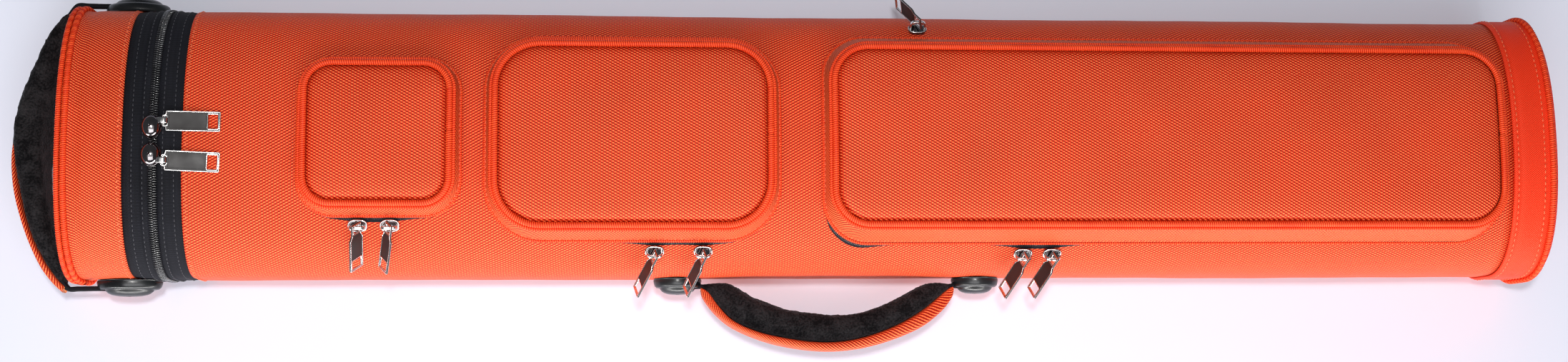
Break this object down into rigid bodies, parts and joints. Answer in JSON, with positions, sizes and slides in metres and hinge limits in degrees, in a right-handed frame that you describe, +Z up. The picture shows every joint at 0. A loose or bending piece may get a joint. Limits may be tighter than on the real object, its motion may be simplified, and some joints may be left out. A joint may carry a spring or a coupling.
{
  "type": "cue case",
  "caption": "Hard cue case with an arched front, a zipped lid, zipped pockets on the front, and carry handles on its side and its top.",
  "frame": {"origin": "centre of the flat back that the case lies on", "axes": "+X along the case towards its closed base, +Y away from the side handle, +Z up out of the arched front that carries the pockets"},
  "size_m": [0.8953, 0.2094, 0.103],
  "materials": {
    "orange_fabric": "orange coated ballistic nylon, woven",
    "black_tape": "black woven zip tape and nylon coil",
    "black_plush": "black plush over foam",
    "black_plastic": "smooth black moulding",
    "gunmetal": "dark polished zinc",
    "board": "grey stiffener board",
    "foam": "dark felt-faced foam"
  },
  "bodies": {
    "case": {"body_cover": "orange_fabric", "body_shell": "board", "foam_liner": "foam", "base_board": "board", "base_pad": "foam", "base_boot": "orange_fabric", "base_piping": "orange_fabric", "row_divider": "foam", "butt_divider_1": "foam", "butt_divider_2": "foam", "shaft_divider_1": "foam", "shaft_divider_2": "foam", "shaft_divider_3": "foam", "shaft_divider_4": "foam", "zip_tape_body": "black_tape", "zip_chain_body": "black_tape", "hinge_leaf_body": "black_tape", "small_pocket_zip": "black_tape", "medium_pocket_zip": "black_tape", "long_pocket_zip": "black_tape", "side_handle_anchor_1": "black_plastic", "side_handle_anchor_2": "black_plastic"},
    "lid": {"lid_cover": "orange_fabric", "lid_shell": "board", "lid_pad": "foam", "lid_piping": "orange_fabric", "zip_tape_lid": "black_tape", "zip_chain_lid": "black_tape", "hinge_leaf_lid": "black_tape", "top_handle_anchor_1": "black_plastic", "top_handle_anchor_2": "black_plastic"},
    "top_handle": {"top_handle_cover": "orange_fabric", "top_handle_pad": "black_plush"},
    "side_handle": {"side_handle_cover": "orange_fabric", "side_handle_pad": "black_plush"},
    "small_pocket": {"small_pocket_shell": "orange_fabric", "small_pocket_piping": "orange_fabric"},
    "medium_pocket": {"medium_pocket_shell": "orange_fabric", "medium_pocket_piping": "orange_fabric"},
    "long_pocket": {"long_pocket_shell": "orange_fabric", "long_pocket_piping": "orange_fabric"},
    "small_slider_1": {"small_slider_1": "gunmetal"},
    "small_pull_1": {"small_pull_1": "gunmetal"},
    "small_slider_2": {"small_slider_2": "gunmetal"},
    "small_pull_2": {"small_pull_2": "gunmetal"},
    "medium_slider_1": {"medium_slider_1": "gunmetal"},
    "medium_pull_1": {"medium_pull_1": "gunmetal"},
    "medium_slider_2": {"medium_slider_2": "gunmetal"},
    "medium_pull_2": {"medium_pull_2": "gunmetal"},
    "long_slider_1": {"long_slider_1": "gunmetal"},
    "long_pull_1": {"long_pull_1": "gunmetal"},
    "long_slider_2": {"long_slider_2": "gunmetal"},
    "long_pull_2": {"long_pull_2": "gunmetal"},
    "long_slider_3": {"long_slider_3": "gunmetal"},
    "long_pull_3": {"long_pull_3": "gunmetal"},
    "lid_slider_1": {"lid_slider_1": "gunmetal"},
    "lid_pull_1": {"lid_pull_1": "gunmetal"},
    "lid_slider_2": {"lid_slider_2": "gunmetal"},
    "lid_pull_2": {"lid_pull_2": "gunmetal"}
  },
  "joints": [
    {"name": "lid_hinge", "type": "hinge", "parent": "case", "child": "lid", "pos_m": [-0.377, 0, 0], "axis": [0, -1, 0], "range_deg": [0, 110]},
    {"name": "top_handle_swing", "type": "hinge", "parent": "lid", "child": "top_handle", "pos_m": [-0.411, 0, 0.036], "axis": [0, 1, 0], "range_deg": [-20, 20]},
    {"name": "side_handle_swing", "type": "hinge", "parent": "case", "child": "side_handle", "pos_m": [0.001, -0.0819, 0.036], "axis": [-1, 0, 0], "range_deg": [-40, 42]},
    {"name": "small_pocket_flap", "type": "hinge", "parent": "case", "child": "small_pocket", "pos_m": [-0.254, 0.0449, 0.07999], "axis": [-1, 0, 0], "range_deg": [0, 95]},
    {"name": "medium_pocket_flap", "type": "hinge", "parent": "case", "child": "medium_pocket", "pos_m": [-0.113, 0.0584, 0.07417], "axis": [-1, 0, 0], "range_deg": [0, 95]},
    {"name": "long_pocket_flap", "type": "hinge", "parent": "case", "child": "long_pocket", "pos_m": [0.3934, 0, 0.0855], "axis": [0, 1, 0], "range_deg": [0, 90]},
    {"name": "small_slider_1_slide", "type": "slide", "parent": "case", "child": "small_slider_1", "axis": [-1, 0, 0], "range_m": [0, 0.011]},
    {"name": "small_pull_1_swing", "type": "hinge", "parent": "small_slider_1", "child": "small_pull_1", "pos_m": [-0.2658, -0.05194, 0.08483], "axis": [-1, 0, 0], "range_deg": [0, 100]},
    {"name": "small_slider_2_slide", "type": "slide", "parent": "case", "child": "small_slider_2", "axis": [1, 0, 0], "range_m": [0, 0.016]},
    {"name": "small_pull_2_swing", "type": "hinge", "parent": "small_slider_2", "child": "small_pull_2", "pos_m": [-0.2482, -0.05194, 0.08483], "axis": [-1, 0, 0], "range_deg": [0, 100]},
    {"name": "medium_slider_1_slide", "type": "slide", "parent": "case", "child": "medium_slider_1", "axis": [-1, 0, 0], "range_m": [0, 0.058]},
    {"name": "medium_pull_1_swing", "type": "hinge", "parent": "medium_slider_1", "child": "medium_pull_1", "pos_m": [-0.101, -0.0673, 0.07683], "axis": [-1, 0, 0], "range_deg": [0, 100]},
    {"name": "medium_slider_2_slide", "type": "slide", "parent": "case", "child": "medium_slider_2", "axis": [1, 0, 0], "range_m": [0, 0.01]},
    {"name": "medium_pull_2_swing", "type": "hinge", "parent": "medium_slider_2", "child": "medium_pull_2", "pos_m": [-0.0735, -0.0673, 0.07683], "axis": [-1, 0, 0], "range_deg": [0, 100]},
    {"name": "long_slider_1_slide", "type": "slide", "parent": "case", "child": "long_slider_1", "axis": [-1, 0, 0], "range_m": [0, 0.08]},
    {"name": "long_pull_1_swing", "type": "hinge", "parent": "long_slider_1", "child": "long_pull_1", "pos_m": [0.111, -0.06908, 0.07551], "axis": [-1, 0, 0], "range_deg": [0, 100]},
    {"name": "long_slider_2_slide", "type": "slide", "parent": "case", "child": "long_slider_2", "axis": [1, 0, 0], "range_m": [0, 0.225]},
    {"name": "long_pull_2_swing", "type": "hinge", "parent": "long_slider_2", "child": "long_pull_2", "pos_m": [0.128, -0.06908, 0.07551], "axis": [-1, 0, 0], "range_deg": [0, 100]},
    {"name": "long_slider_3_slide", "type": "slide", "parent": "case", "child": "long_slider_3", "axis": [1, 0, 0], "range_m": [0, 0.29]},
    {"name": "long_pull_3_swing", "type": "hinge", "parent": "long_slider_3", "child": "long_pull_3", "pos_m": [0.0517, 0.06908, 0.07551], "axis": [1, 0, 0], "range_deg": [0, 100]},
    {"name": "lid_slider_1_run", "type": "hinge", "parent": "case", "child": "lid_slider_1", "pos_m": [-0.377, 0, -0.116], "axis": [-1, 0, 0], "range_deg": [0, 9]},
    {"name": "lid_pull_1_swing", "type": "hinge", "parent": "lid_slider_1", "child": "lid_pull_1", "pos_m": [-0.3706, 0.00725, 0.08865], "axis": [0, -0.9999, 0.0101], "range_deg": [0, 75]},
    {"name": "lid_slider_2_run", "type": "hinge", "parent": "case", "child": "lid_slider_2", "pos_m": [-0.377, 0, -0.116], "axis": [1, 0, 0], "range_deg": [0, 9]},
    {"name": "lid_pull_2_swing", "type": "hinge", "parent": "lid_slider_2", "child": "lid_pull_2", "pos_m": [-0.3706, -0.01459, 0.08837], "axis": [-0.0346, -0.9987, -0.0363], "range_deg": [0, 75]}
  ]
}
